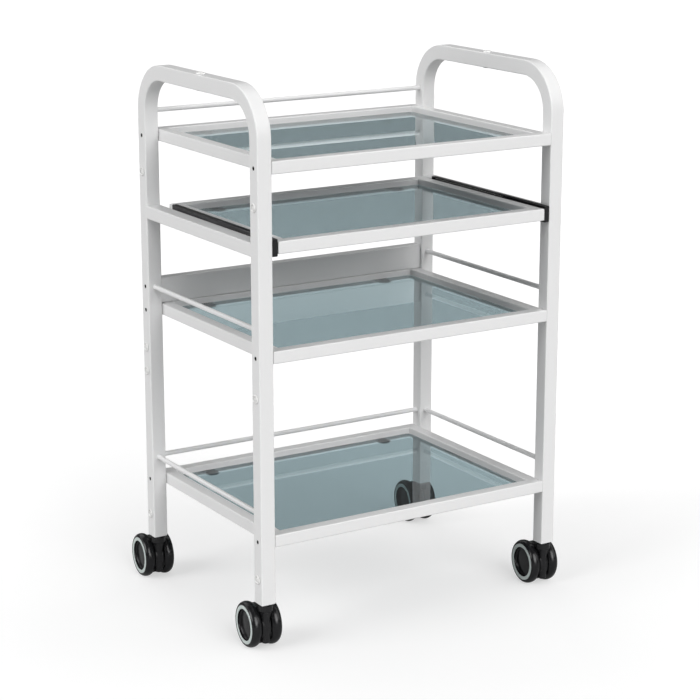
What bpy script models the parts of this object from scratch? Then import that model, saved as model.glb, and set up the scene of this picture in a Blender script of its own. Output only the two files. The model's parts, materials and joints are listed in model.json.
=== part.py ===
"""Rolling salon trolley with three fixed glass shelves and one pull-out glass tray.

Two bent side frames of square tube carry everything.  Shelf rings of smaller square
tube sit between them, each holding a recessed glass pane on four welded tabs.  The
second level is a tray on ball-bearing slides, and four twin-wheel casters swivel on
stems that are plugged into the legs.

Metres, +Z up, +X to the trolley's right, -Y its front, origin at the bottom centre
of the bounding box.
"""

import math

import bmesh
import bpy
from mathutils import Matrix, Vector

TROLLEY = "rolling_salon_trolley"
GUIDES = "cutters_and_guides"

# ---------------------------------------------------------------- driving sizes
GAP = 0.0003                # clearance between pieces that touch

FRAME_WIDTH = 0.570         # outer faces of the left and right legs
FRAME_DEPTH = 0.400         # front faces to back faces of the legs
FRAME_TOP = 0.895           # top of the handles above the floor
LEG_FOOT = 0.080            # cut end of the legs above the floor
LEG_TUBE = 0.025
TUBE_WALL = 0.0015
TUBE_CORNER = 0.0020        # outer corner radius of every square tube
HANDLE_BEND = 0.0675        # centre-line radius of the two bends of a handle
BEND_STEPS = 8

RAIL = 0.020                # square tube of the shelf rings
SHELF_TOPS = {"top": 0.784, "middle": 0.490, "bottom": 0.193}
TRAY_TOP = 0.661
TRAY_BACK = 0.162           # back face of the tray's ring, from the frame's centre
SLIDE_RAIL_TOP = 0.6585     # fixed rails that carry the slides
SLIDE_RAIL_HEIGHT = 0.022

GLASS = 0.004
GLASS_RECESS = 0.010        # glass surface below the top of its rails
GLASS_CLEARANCE = 0.0012    # all round the pane
GLASS_CORNER = 0.010

TAB_RADIUS = 0.0115         # round ends of the tabs that hold up the glass
TAB_REACH = 0.025           # a tab's end from the inner face of its rail
TAB_THICKNESS = 0.002
TAB_X = 0.176               # tabs from the trolley's middle, the same on every shelf
TAB_STEPS = 8

GUARD_ROD = 0.008
GUARD_RISE = 0.030          # rod centre above the top of the rails
PANEL_RISE = 0.043          # back panel of the middle shelf above its rails

SLIDE_LENGTH = 0.330
SLIDE_HEIGHT = 0.027
SLIDE_WALL = 0.0012
SLIDE_SPACE = 0.010         # between the plane of the legs and the tray
INNER_SLIDE_HEIGHT = 0.0175
CAGE_HEIGHT = 0.0225
CAGE_LENGTH = 0.200
CAGE_REAR = 0.122           # rear end of the ball cages with the tray pushed in
CAGE_WALL = 0.0004

SCREW_HOLE = 0.0056
PLUG_HOLE = 0.0100
PLUG_HEAD = 0.0150
PLUG_DOME = 0.0024

WHEEL_RADIUS = 0.0375
WHEEL_WIDTH = 0.018
WHEEL_INNER = 0.0085        # inner face of a wheel from the caster's middle
WHEEL_STEPS = 24
CASTER_TRAIL = 0.026        # axle behind the swivel axis
CASTER_SWIVEL = math.radians(-5.0)
AXLE = 0.008
STEM = 0.0096
STEM_BOTTOM = 0.052
STEM_SOCKET_BOTTOM = 0.0505
STEM_COLLAR = 0.0150
STEM_COLLAR_HEIGHT = 0.0020
INSERT_HEIGHT = 0.026
SPINE_RADIUS = 0.0330       # plate between the two wheels
SPINE_WIDTH = 0.0155
NECK_RADIUS = 0.0125        # round top of the housing, under the leg
NECK_BOTTOM = 0.0400
WHEEL_CLEARANCE = 0.0012

# ------------------------------------------------------------- derived places
LEG_X = (FRAME_WIDTH - LEG_TUBE) / 2
LEG_Y = (FRAME_DEPTH - LEG_TUBE) / 2
INSIDE_X = LEG_X - LEG_TUBE / 2         # inner faces of the legs, left and right
INSIDE_Y = LEG_Y - LEG_TUBE / 2         # inner faces of the legs, front and back
TRAY_HALF_WIDTH = INSIDE_X - SLIDE_SPACE - GAP
SLIDE_CENTRE_Y = -FRAME_DEPTH / 2 + SLIDE_LENGTH / 2
SLIDE_CENTRE_Z = TRAY_TOP - RAIL / 2 + 0.0005
SIDES = {"left": -1, "right": 1}
CORNERS = {f"{end}_{side}": (x * LEG_X, y * LEG_Y)
           for end, y in (("front", -1), ("back", 1)) for side, x in SIDES.items()}

# The wheels reach past the frame on every side, so the bounding box is centred on them.
ORIGIN_SHIFT = Vector((CASTER_TRAIL * math.sin(CASTER_SWIVEL),
                       -CASTER_TRAIL * math.cos(CASTER_SWIVEL), 0))

# Colour, roughness and metallic value.
WHITE_COAT = ((0.80, 0.80, 0.80), 0.38, 0.0)
WHITE_PLASTIC = ((0.84, 0.84, 0.83), 0.30, 0.0)
BLACK_PLASTIC = ((0.022, 0.022, 0.023), 0.38, 0.0)
BLACK_STEEL = ((0.016, 0.016, 0.017), 0.42, 0.6)
BRIGHT_STEEL = ((0.62, 0.62, 0.60), 0.28, 1.0)
TINTED_GLASS = ((0.24, 0.34, 0.38), 0.05, 0.0)


# ------------------------------------------------------------------ scene set-up
def clear_scene():
    for obj in list(bpy.data.objects):
        bpy.data.objects.remove(obj, do_unlink=True)


def new_collection(name):
    collection = bpy.data.collections.new(name)
    bpy.context.scene.collection.children.link(collection)
    return collection


def new_material(name, look):
    colour, roughness, metallic = look
    material = bpy.data.materials.new(name)
    material.use_nodes = True
    shader = material.node_tree.nodes["Principled BSDF"]
    shader.inputs["Base Color"].default_value = (*colour, 1.0)
    shader.inputs["Roughness"].default_value = roughness
    shader.inputs["Metallic"].default_value = metallic
    return material


def add_part(name, mesh, look, parent, location=(0, 0, 0), rotation=(0, 0, 0)):
    """One sub-part: an object with its own material, placed under its parent."""
    obj = bpy.data.objects.new(name, mesh)
    bpy.data.collections[TROLLEY].objects.link(obj)
    obj.parent = parent
    obj.location = location
    obj.rotation_euler = rotation
    mesh.materials.clear()
    mesh.materials.append(new_material(name, look))
    return obj


def add_empty(name, location, rotation_z=0.0, parent=None):
    empty = bpy.data.objects.new(name, None)
    bpy.data.collections[TROLLEY].objects.link(empty)
    empty.parent = parent
    empty.location = location
    empty.rotation_euler = (0, 0, rotation_z)
    return empty


def add_cutter(name, mesh, target):
    """A hidden cutter that moves with the object it cuts."""
    cutter = bpy.data.objects.new(name, mesh)
    bpy.data.collections[GUIDES].objects.link(cutter)
    cutter.parent = target
    cutter.hide_render = True
    cutter.display_type = 'WIRE'
    return cutter


# ---------------------------------------------------------------- shape builders
def mesh_from(bm, name, smooth_angle=None):
    mesh = bpy.data.meshes.new(name)
    bm.to_mesh(mesh)
    bm.free()
    if smooth_angle is not None:
        mesh.shade_smooth()
        mesh.set_sharp_from_angle(angle=smooth_angle)
    return mesh


def add_cylinder(bm, radius, length, centre, axis='Z', segments=24):
    turn = {'X': Matrix.Rotation(math.pi / 2, 4, 'Y'),
            'Y': Matrix.Rotation(-math.pi / 2, 4, 'X'),
            'Z': Matrix.Identity(4)}[axis]
    bmesh.ops.create_cone(bm, cap_ends=True, segments=segments, radius1=radius,
                          radius2=radius, depth=length,
                          matrix=Matrix.Translation(centre) @ turn)


def cylinder_mesh(name, radius, length, axis='Z', segments=24):
    bm = bmesh.new()
    add_cylinder(bm, radius, length, (0, 0, 0), axis, segments)
    return mesh_from(bm, name, math.radians(40))


def box_mesh(name, size):
    bm = bmesh.new()
    bmesh.ops.create_cube(bm, size=1.0, matrix=Matrix.Diagonal((*size, 1.0)))
    return mesh_from(bm, name)


def rounded_rectangle(width, height, radius, steps):
    """Corner points of a rectangle with round corners, anticlockwise."""
    points = []
    for quarter, (sx, sy) in enumerate(((1, 1), (-1, 1), (-1, -1), (1, -1))):
        centre = Vector((sx * (width / 2 - radius), sy * (height / 2 - radius)))
        for step in range(steps + 1):
            angle = (quarter + step / steps) * math.pi / 2
            points.append(centre + radius * Vector((math.cos(angle), math.sin(angle))))
    return points


def flat_curve(name, points, cyclic):
    curve = bpy.data.curves.new(name, 'CURVE')
    curve.dimensions = '2D'
    curve.fill_mode = 'NONE'
    spline = curve.splines.new('POLY')
    spline.points.add(len(points) - 1)
    for point, (x, y) in zip(spline.points, points):
        point.co = (x, y, 0, 1)
    spline.use_cyclic_u = cyclic
    return curve


def mesh_of_curve(name, curve):
    """The evaluated mesh of a curve, welded, without its temporary object."""
    guide = bpy.data.objects.new(name, curve)
    bpy.data.collections[GUIDES].objects.link(guide)
    evaluated = guide.evaluated_get(bpy.context.evaluated_depsgraph_get())
    mesh = bpy.data.meshes.new_from_object(evaluated)
    bpy.data.objects.remove(guide)
    bm = bmesh.new()
    bm.from_mesh(mesh)
    bmesh.ops.remove_doubles(bm, verts=bm.verts, dist=1e-5)
    bmesh.ops.recalc_face_normals(bm, faces=bm.faces)
    bm.to_mesh(mesh)
    bm.free()
    return mesh


def swept_tube(name, path, width, height, cyclic=False):
    """The skin of a square tube along a flat path; width lies in the path's plane."""
    outline = rounded_rectangle(width, height, TUBE_CORNER, 2)
    section = bpy.data.objects.new(name + "_section", flat_curve(name, outline, True))
    bpy.data.collections[GUIDES].objects.link(section)
    curve = flat_curve(name, path, cyclic)
    curve.bevel_mode = 'OBJECT'
    curve.bevel_object = section
    mesh = mesh_of_curve(name, curve)
    bpy.data.objects.remove(section)
    return mesh


def plate_mesh(name, outline, thickness):
    """A flat plate of the given outline, centred on its own mid-plane."""
    curve = flat_curve(name, outline, True)
    curve.fill_mode = 'BOTH'
    curve.extrude = thickness / 2
    return mesh_of_curve(name, curve)


def add_wall(obj, thickness):
    """Turns an outward-facing skin into a wall of the given thickness."""
    solidify = obj.modifiers.new("wall", 'SOLIDIFY')
    solidify.thickness = thickness
    solidify.offset = -1
    solidify.use_even_offset = True


def cut(obj, cutter, operation='DIFFERENCE'):
    boolean = obj.modifiers.new(cutter.name, 'BOOLEAN')
    boolean.operation = operation
    boolean.solver = 'EXACT'
    boolean.object = cutter


def turned_part(name, profile, look, parent, closed=False, steps=24, **place):
    """A profile of (radius, height) points, run down its outer side, spun about Z."""
    edges = [(i, i + 1) for i in range(len(profile) - 1)]
    if closed:
        edges.append((len(profile) - 1, 0))
    mesh = bpy.data.meshes.new(name)
    mesh.from_pydata([(radius, 0, height) for radius, height in profile], edges, [])
    obj = add_part(name, mesh, look, parent, **place)
    screw = obj.modifiers.new("turn", 'SCREW')
    screw.steps = screw.render_steps = steps
    screw.use_merge_vertices = True
    screw.merge_threshold = 0.00002
    screw.use_smooth_shade = True
    return obj


# ------------------------------------------------------------------ side frames
def handle_path():
    """Up the front leg, over the handle and down the back leg, in (Y, Z)."""
    bar_z = FRAME_TOP - LEG_TUBE / 2
    path = [(-LEG_Y, LEG_FOOT)]
    for centre_y, start in ((-LEG_Y + HANDLE_BEND, 180), (LEG_Y - HANDLE_BEND, 90)):
        for step in range(BEND_STEPS + 1):
            angle = math.radians(start - 90 * step / BEND_STEPS)
            path.append((centre_y + HANDLE_BEND * math.cos(angle),
                         bar_z - HANDLE_BEND + HANDLE_BEND * math.sin(angle)))
    path.append((LEG_Y, LEG_FOOT))
    return path


def leg_screw_heights(end):
    """Heights of the screws that hold shelves, and on the back legs the panel."""
    heights = [top - RAIL / 2 for top in SHELF_TOPS.values()]
    if end > 0:
        heights.append(SHELF_TOPS["middle"] + GUARD_RISE)
    return heights


def frame_hole_mesh(name, side):
    """Screw holes in the outer walls and the hole through the middle of the handle."""
    bm = bmesh.new()
    for end in (-1, 1):
        for height in leg_screw_heights(end):
            add_cylinder(bm, SCREW_HOLE / 2, 2 * LEG_TUBE / 3,
                         (side * LEG_TUBE / 2, end * LEG_Y, height), 'X', 12)
    add_cylinder(bm, PLUG_HOLE / 2, 2 * LEG_TUBE, (0, 0, FRAME_TOP - LEG_TUBE / 2), 'Z', 16)
    return mesh_from(bm, name)


def build_side_frame(side_name, trolley):
    side = SIDES[side_name]
    name = f"{side_name}_side_frame"
    mesh = swept_tube(name, handle_path(), LEG_TUBE, LEG_TUBE)
    mesh.transform(Matrix.Rotation(math.pi / 2, 4, 'Z') @ Matrix.Rotation(math.pi / 2, 4, 'X'))
    frame = add_part(name, mesh, WHITE_COAT, trolley, (side * LEG_X, 0, 0))
    add_wall(frame, TUBE_WALL)
    cut(frame, add_cutter(name + "_holes", frame_hole_mesh(name, side), frame))


def build_slide_rail(side_name, trolley):
    """The fixed side rail between the legs that carries the tray's slide."""
    name = f"{side_name}_slide_rail"
    half = INSIDE_Y - GAP
    mesh = swept_tube(name, [(0, -half), (0, half)], LEG_TUBE, SLIDE_RAIL_HEIGHT)
    rail = add_part(name, mesh, WHITE_COAT, trolley,
                    (SIDES[side_name] * LEG_X, 0, SLIDE_RAIL_TOP - SLIDE_RAIL_HEIGHT / 2))
    add_wall(rail, TUBE_WALL)


def build_handle_plugs(side_name, trolley):
    """Domed plugs that close the hole through the handle, above and below."""
    head, hole = PLUG_HEAD / 2, PLUG_HOLE / 2 - GAP
    dome = [(head * math.sin(a), GAP + PLUG_DOME * math.cos(a))
            for a in (math.radians(18 * step) for step in range(5))]
    profile = dome + [(head, GAP), (hole, GAP), (hole, -0.005), (0, -0.005)]
    for place, flip, height in (("top", 0, FRAME_TOP), ("under", math.pi, FRAME_TOP - LEG_TUBE)):
        turned_part(f"{side_name}_handle_plug_{place}", profile, WHITE_PLASTIC, trolley,
                    location=(SIDES[side_name] * LEG_X, 0, height), rotation=(flip, 0, 0))


# ----------------------------------------------------------------- glass shelves
def ring_path(half_width, front, back):
    """Centre line of a rectangular ring whose outer faces are at the given places."""
    x = half_width - RAIL / 2
    return [(-x, front + RAIL / 2), (x, front + RAIL / 2),
            (x, back - RAIL / 2), (-x, back - RAIL / 2)]


def tab_outline():
    """A tab with a round end, its straight back sunk into the rail's wall."""
    sink, straight = TUBE_WALL / 2, TAB_REACH - TAB_RADIUS
    turns = [math.pi * step / TAB_STEPS for step in range(TAB_STEPS + 1)]
    end = [(TAB_RADIUS * math.cos(turn), straight + TAB_RADIUS * math.sin(turn)) for turn in turns]
    return [(TAB_RADIUS, -sink)] + end + [(-TAB_RADIUS, -sink)]


def tab_mesh(name, front, back):
    """The four glass tabs of a ring."""
    tab = plate_mesh(name, tab_outline(), TAB_THICKNESS)
    height = -GLASS_RECESS - GLASS - GAP - TAB_THICKNESS / 2
    bm = bmesh.new()
    for x in (-TAB_X, TAB_X):
        for rail_y, turn in ((front + RAIL, 0), (back - RAIL, math.pi)):
            copy = tab.copy()
            copy.transform(Matrix.Translation((x, rail_y, height)) @ Matrix.Rotation(turn, 4, 'Z'))
            bm.from_mesh(copy)
    return mesh_from(bm, name)


def ring_hole_mesh(name, half_width, hole_ys):
    """Holes in the outer walls of the two side rails."""
    bm = bmesh.new()
    for x in (-half_width, half_width):
        for y in hole_ys:
            add_cylinder(bm, SCREW_HOLE / 2, RAIL / 2, (x, y, -RAIL / 2), 'X', 12)
    return mesh_from(bm, name)


def build_ring(name, parent, half_width, front, back, top, hole_ys):
    """A welded ring of square tube with its glass tabs, its origin at the rail tops."""
    mesh = swept_tube(name, ring_path(half_width, front, back), RAIL, RAIL, cyclic=True)
    mesh.transform(Matrix.Translation((0, 0, -RAIL / 2)))
    ring = add_part(name, mesh, WHITE_COAT, parent, (0, 0, top))
    add_wall(ring, TUBE_WALL)
    cut(ring, add_cutter(name + "_holes", ring_hole_mesh(name, half_width, hole_ys), ring))
    tabs = add_cutter(name + "_tabs", tab_mesh(name, front, back), ring)
    cut(ring, tabs, 'UNION')


def build_glass(name, parent, half_width, front, back, top):
    inset = RAIL + GLASS_CLEARANCE
    outline = rounded_rectangle(2 * (half_width - inset), back - front - 2 * inset,
                                GLASS_CORNER, 5)
    add_part(name, plate_mesh(name, outline, GLASS), TINTED_GLASS, parent,
             (0, (front + back) / 2, top - GLASS_RECESS - GLASS / 2))


def build_fixed_shelf(level, trolley):
    half_width, front, back = INSIDE_X - GAP, -FRAME_DEPTH / 2, FRAME_DEPTH / 2
    top = SHELF_TOPS[level]
    build_ring(f"{level}_shelf_ring", trolley, half_width, front, back, top, (-LEG_Y, LEG_Y))
    build_glass(f"{level}_shelf_glass", trolley, half_width, front, back, top)


def build_guard_rods(trolley):
    """Thin rods above the shelves: at the sides of two levels and behind two."""
    rods = cylinder_mesh("side_rod", GUARD_ROD / 2, 2 * (INSIDE_Y - GAP), 'Y', 16)
    for level in ("middle", "bottom"):
        for side_name, side in SIDES.items():
            add_part(f"{level}_{side_name}_guard_rod", rods.copy(), WHITE_COAT, trolley,
                     (side * LEG_X, 0, SHELF_TOPS[level] + GUARD_RISE))
    rods = cylinder_mesh("back_rod", GUARD_ROD / 2, 2 * (INSIDE_X - GAP), 'X', 16)
    for level in ("top", "bottom"):
        add_part(f"{level}_back_guard_rod", rods.copy(), WHITE_COAT, trolley,
                 (0, LEG_Y, SHELF_TOPS[level] + GUARD_RISE))


def build_back_panel(trolley):
    """A flat tube on top of the middle shelf's back rail, flush with both its faces."""
    name = "middle_back_panel"
    half, height = INSIDE_X - GAP, PANEL_RISE - GAP
    mesh = swept_tube(name, [(-half, 0), (half, 0)], RAIL, height)
    panel = add_part(name, mesh, WHITE_COAT, trolley,
                     (0, FRAME_DEPTH / 2 - RAIL / 2, SHELF_TOPS["middle"] + GAP + height / 2))
    add_wall(panel, TUBE_WALL)


# ------------------------------------------------------------- tray and slides
def build_tray(trolley):
    front = -FRAME_DEPTH / 2
    slide_screws = (front + 0.05, front + SLIDE_LENGTH - 0.05)
    build_ring("tray_ring", trolley, TRAY_HALF_WIDTH, front, TRAY_BACK, TRAY_TOP, slide_screws)
    build_glass("tray_glass", trolley, TRAY_HALF_WIDTH, front, TRAY_BACK, TRAY_TOP)


def channel_mesh(name, web_x, lip_x, height, length):
    """The skin of a channel along Y: an upright web with a flange above and below."""
    section = [(lip_x, height / 2), (web_x, height / 2), (web_x, -height / 2),
               (lip_x, -height / 2)]
    curve = flat_curve(name, section, False)
    curve.extrude = length / 2
    mesh = mesh_of_curve(name, curve)
    mesh.transform(Matrix.Rotation(math.pi / 2, 4, 'X'))
    return mesh


def build_channel(name, web_x, lip_x, height, length, wall, centre_y, look, trolley):
    mesh = channel_mesh(name, web_x, lip_x, height, length)
    channel = add_part(name, mesh, look, trolley, (0, centre_y, SLIDE_CENTRE_Z))
    add_wall(channel, wall)


def build_slide(side_name, trolley):
    """Outer and inner channels facing each other, with the ball cage between them."""
    side = SIDES[side_name]
    outer_web = INSIDE_X - GAP
    inner_web = TRAY_HALF_WIDTH + GAP
    cage_web = outer_web - SLIDE_WALL - GAP
    build_channel(f"{side_name}_slide_outer", side * outer_web, side * (inner_web + 0.0008),
                  SLIDE_HEIGHT, SLIDE_LENGTH, SLIDE_WALL, SLIDE_CENTRE_Y, BLACK_STEEL, trolley)
    build_channel(f"{side_name}_slide_inner", side * inner_web,
                  side * (cage_web - CAGE_WALL - GAP), INNER_SLIDE_HEIGHT, SLIDE_LENGTH,
                  SLIDE_WALL, SLIDE_CENTRE_Y, BLACK_STEEL, trolley)
    build_channel(f"{side_name}_slide_cage", side * cage_web, side * (inner_web + 0.002),
                  CAGE_HEIGHT, CAGE_LENGTH, CAGE_WALL, CAGE_REAR - CAGE_LENGTH / 2,
                  BRIGHT_STEEL, trolley)


# --------------------------------------------------------------------- casters
def build_leg_insert(corner, trolley):
    """The plastic block in the leg's end that grips the caster's stem."""
    name = f"{corner}_leg_insert"
    size = LEG_TUBE - 2 * TUBE_WALL - 2 * GAP
    x, y = CORNERS[corner]
    insert = add_part(name, box_mesh(name, (size, size, INSERT_HEIGHT)), BLACK_PLASTIC,
                      trolley, (x, y, LEG_FOOT + INSERT_HEIGHT / 2))
    bevel = insert.modifiers.new("edges", 'BEVEL')
    bevel.width = 0.0008
    bevel.segments = 1
    bore = cylinder_mesh(name, STEM / 2 + GAP, 2 * INSERT_HEIGHT)
    cut(insert, add_cutter(name + "_bore", bore, insert))


def build_stem(corner, trolley):
    """The steel stem, pressed into the insert above and turning in the housing below."""
    x, y = CORNERS[corner]
    collar_top = LEG_FOOT - GAP
    collar_bottom = collar_top - STEM_COLLAR_HEIGHT
    stem_top = LEG_FOOT + INSERT_HEIGHT - 0.002
    profile = [(0, stem_top), (STEM / 2 - 0.001, stem_top), (STEM / 2, stem_top - 0.001),
               (STEM / 2, collar_top), (STEM_COLLAR / 2, collar_top),
               (STEM_COLLAR / 2, collar_bottom), (STEM / 2, collar_bottom),
               (STEM / 2, STEM_BOTTOM + 0.001), (STEM / 2 - 0.001, STEM_BOTTOM),
               (0, STEM_BOTTOM)]
    turned_part(f"{corner}_caster_stem", profile, BRIGHT_STEEL, trolley, location=(x, y, 0))


def build_housing(corner, swivel):
    """The plate between the wheels and the round neck that holds the stem."""
    name = f"{corner}_caster_housing"
    axle = (0, CASTER_TRAIL, WHEEL_RADIUS)
    neck_top = LEG_FOOT - STEM_COLLAR_HEIGHT - 2 * GAP
    bm = bmesh.new()
    add_cylinder(bm, SPINE_RADIUS, SPINE_WIDTH, axle, 'X', 40)
    housing = add_part(name, mesh_from(bm, name), BLACK_PLASTIC, swivel)

    bm = bmesh.new()
    add_cylinder(bm, NECK_RADIUS, neck_top - NECK_BOTTOM,
                 (0, 0, (neck_top + NECK_BOTTOM) / 2), 'Z', 28)
    cut(housing, add_cutter(name + "_neck", mesh_from(bm, name), housing), 'UNION')

    bm = bmesh.new()
    room = WHEEL_WIDTH + WHEEL_INNER
    for side in (-1, 1):
        middle = side * (SPINE_WIDTH / 2 + room / 2)
        add_cylinder(bm, WHEEL_RADIUS + WHEEL_CLEARANCE, room,
                     (middle, CASTER_TRAIL, WHEEL_RADIUS), 'X', 40)
    cut(housing, add_cutter(name + "_wheel_room", mesh_from(bm, name), housing))

    bm = bmesh.new()
    add_cylinder(bm, AXLE / 2 + GAP, 2 * SPINE_WIDTH, axle, 'X', 20)
    add_cylinder(bm, STEM / 2 + GAP, 0.1, (0, 0, STEM_SOCKET_BOTTOM + 0.05), 'Z', 24)
    cut(housing, add_cutter(name + "_bores", mesh_from(bm, name), housing))


def wheel_profile():
    """Half-section of a wheel as (radius, height) with its outer face up."""
    half, bore = WHEEL_WIDTH / 2, AXLE / 2 + GAP
    tread = [(WHEEL_RADIUS - 0.0065 * (1 - math.cos(a)), half * math.sin(a))
             for a in (math.radians(70 - 35 * step) for step in range(5))]
    outer_face = [(bore, 0.004), (0.010, 0.004), (0.0115, 0.002), (0.0235, 0.002),
                  (0.0255, half - 0.0008)]
    inner_face = [(0.0265, -0.003), (0.0095, -0.003), (0.0085, -half), (bore, -half)]
    return outer_face + tread + inner_face


def build_wheels(corner, swivel):
    """Two wheels on one steel axle, each with its outer face away from the plate."""
    profile = wheel_profile()
    for side_name, side in SIDES.items():
        middle = side * (WHEEL_INNER + WHEEL_WIDTH / 2)
        turned_part(f"{corner}_wheel_{side_name}", profile, BLACK_PLASTIC, swivel,
                    closed=True, steps=WHEEL_STEPS,
                    location=(middle, CASTER_TRAIL, WHEEL_RADIUS),
                    rotation=(0, side * math.pi / 2, 0))
    half = WHEEL_INNER + WHEEL_WIDTH / 2 + 0.0035
    name = f"{corner}_caster_axle"
    add_part(name, cylinder_mesh(name, AXLE / 2, 2 * half, 'X', 20), BRIGHT_STEEL, swivel,
             (0, CASTER_TRAIL, WHEEL_RADIUS))


def build_caster(corner, trolley):
    build_leg_insert(corner, trolley)
    build_stem(corner, trolley)
    x, y = CORNERS[corner]
    swivel = add_empty(f"{corner}_swivel_axis", (x, y, 0), CASTER_SWIVEL, trolley)
    build_housing(corner, swivel)
    build_wheels(corner, swivel)


def build_trolley():
    clear_scene()
    new_collection(TROLLEY)
    new_collection(GUIDES)
    trolley = add_empty("trolley_centre", ORIGIN_SHIFT)
    for side_name in SIDES:
        build_side_frame(side_name, trolley)
        build_slide_rail(side_name, trolley)
        build_handle_plugs(side_name, trolley)
        build_slide(side_name, trolley)
    for level in SHELF_TOPS:
        build_fixed_shelf(level, trolley)
    build_guard_rods(trolley)
    build_back_panel(trolley)
    build_tray(trolley)
    for corner in CORNERS:
        build_caster(corner, trolley)


build_trolley()
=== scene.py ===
"""Looks of the rolling salon trolley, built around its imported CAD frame.

Every visible part is a fine mesh that stands for its CAD node: bent and mitred tubes with
round corners, bevelled glass, lipped slide channels with their balls, turned wheels.  The
screws, leg plugs, wheel trim and rubber pads are added here.  Metres, +Z up.
"""

import json
import math

import bmesh
import bpy
from mathutils import Matrix, Vector

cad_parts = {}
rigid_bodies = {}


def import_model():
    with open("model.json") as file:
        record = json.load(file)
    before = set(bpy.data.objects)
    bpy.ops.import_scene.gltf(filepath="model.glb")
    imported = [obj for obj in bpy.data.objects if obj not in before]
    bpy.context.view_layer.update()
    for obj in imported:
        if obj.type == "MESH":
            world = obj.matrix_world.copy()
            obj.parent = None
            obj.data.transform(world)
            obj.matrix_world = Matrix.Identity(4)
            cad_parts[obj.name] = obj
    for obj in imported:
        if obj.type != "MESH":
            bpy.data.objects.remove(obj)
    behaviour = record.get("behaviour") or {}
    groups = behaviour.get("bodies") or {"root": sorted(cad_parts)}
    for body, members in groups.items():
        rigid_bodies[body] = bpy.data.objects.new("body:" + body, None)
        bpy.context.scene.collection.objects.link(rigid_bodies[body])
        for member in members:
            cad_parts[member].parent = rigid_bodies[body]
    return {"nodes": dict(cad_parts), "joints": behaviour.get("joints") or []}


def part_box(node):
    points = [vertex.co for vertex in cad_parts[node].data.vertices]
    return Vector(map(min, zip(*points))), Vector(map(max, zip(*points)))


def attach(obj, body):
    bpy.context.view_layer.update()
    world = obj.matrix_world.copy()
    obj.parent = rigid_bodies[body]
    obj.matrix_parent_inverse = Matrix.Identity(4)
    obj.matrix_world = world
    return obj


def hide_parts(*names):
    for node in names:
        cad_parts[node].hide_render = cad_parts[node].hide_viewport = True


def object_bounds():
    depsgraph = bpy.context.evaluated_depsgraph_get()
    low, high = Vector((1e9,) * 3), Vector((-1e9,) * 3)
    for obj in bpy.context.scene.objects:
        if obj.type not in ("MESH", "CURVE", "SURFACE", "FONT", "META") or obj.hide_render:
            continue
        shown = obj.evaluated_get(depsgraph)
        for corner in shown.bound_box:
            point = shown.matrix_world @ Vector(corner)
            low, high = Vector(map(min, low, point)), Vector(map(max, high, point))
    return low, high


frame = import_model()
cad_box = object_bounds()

# ------------------------------------------------------------------ sizes, metres
WALL = 0.0015               # wall of the square tubes
CORNER = 0.0020             # outer corner radius of the square tubes
CORNER_STEPS = 5
BEND_RADIUS = 0.0675        # centre line of the handle's bends
BEND_STEPS = 28
MITRE_EDGE = 0.0005         # rounding of the welded rings' corners
MITRE_TURN = 60             # degrees; a ring's edges that turn more are its mitres
SHARP_TURN = 35             # degrees; edges that turn more stay sharp in the shading

SCREW_HOLE = 0.0070
SCREW_HEAD = 0.0068
SCREW_RIM = 0.0003          # rounding of the head
SCREW_FACE = 0.62           # inner edge of the head's flat ring, in head radii
SCREW_SOCKET = 0.0030       # across the flats
SOCKET_DEPTH = 0.0018
SCREW_LENGTH = 0.0030
SCREW_SINK = 0.0006         # top of the screw below the tube's face

PLUG_HEAD = 0.0148          # of the plugs in the legs' unused holes
PLUG_DOME = 0.0022
PLUG_STALK = 0.0052         # radius of the part in the hole
PLUG_DEPTH = 0.0030
HANDLE_PLUG_HEAD = 0.0150
HANDLE_PLUG_DOME = 0.0026
HANDLE_PLUG_STALK = 0.0045
HANDLE_PLUG_RIM = 0.0006    # straight edge under the dome

GLASS_CORNER = 0.010
GLASS_EDGE = 0.0006         # ground edge of the panes

TAB_X = 0.176               # glass tabs from the trolley's middle
TAB_RADIUS = 0.0115         # of their round ends
TAB_REACH = 0.025           # a tab's end from the inner face of its rail
TAB_THICKNESS = 0.002
TAB_EDGE = 0.0002
# A pad's darker rim is painted shade at its edge; its middle keeps the paler grey.
PAD_RADIUS = 0.0108
PAD_CENTRE = 0.0068         # radius of the pad's paler middle
PAD_THICKNESS = 0.00022
PAD_GAP = 0.00006           # between a pad and the glass on it

WELD = 0.0013               # fillet of the guard rods' end welds

SLIDE_SHEET = 0.0012
SLIDE_BEND = 0.0016         # outer bends of the fixed channel
INNER_BEND = 0.0010         # and of the moving one
BALL = 0.0015               # radius of the slides' balls
BALL_PITCH = 0.012
BALL_COUNT = 14
CAP_DEPTH = 0.0028          # plastic end of the moving slide member, in front of the fixed one
CAP_GAP = 0.0003            # between that end and the fixed member
CAP_CORNER = 0.0012
STOP_NEAR, STOP_FAR = 0.0002, 0.0018    # rear stop, from the end of the fixed member

WHEEL = 0.0375              # radius, and the axle's height
WHEEL_HALF = 0.00846        # half width at the tread's shoulders
TREAD_FALL = 0.0065         # of the round tread, from its middle to its sides
TREAD_HALF = 0.009
TRIM_OUTER = 0.0314
TRIM_INNER = 0.0256
TRIM_EDGE = 0.0003
SEAT_DEPTH = 0.0010         # the trim's seat in the wheel
DISH = 0.0034               # low rim of the wheel's recessed face, from the wheel's middle
DISH_CENTRE = 0.0044        # and the face's crown
DISH_FILLET = 0.0024
TURN_STEPS = 72

SPINE_RADIUS = 0.0330       # plate between the wheels
SPINE_HALF = 0.0077
SPINE_EDGE = 0.0020
COLUMN = 0.0074             # rounded front of the plate, below the neck
COLUMN_FOOT = 0.0160
COLUMN_TOE = 0.004          # rounding under the column
NECK_RADIUS = 0.0124
NECK_EDGE = 0.0005
WAIST, SHOULDER = 0.0440, 0.0680        # heights between which the column widens to the neck
WHEEL_ROOM = 0.0387         # radius kept clear around each wheel
ROOM_GAP = 0.00005          # between that room and the spine
ROOM_REACH = 0.030

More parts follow.
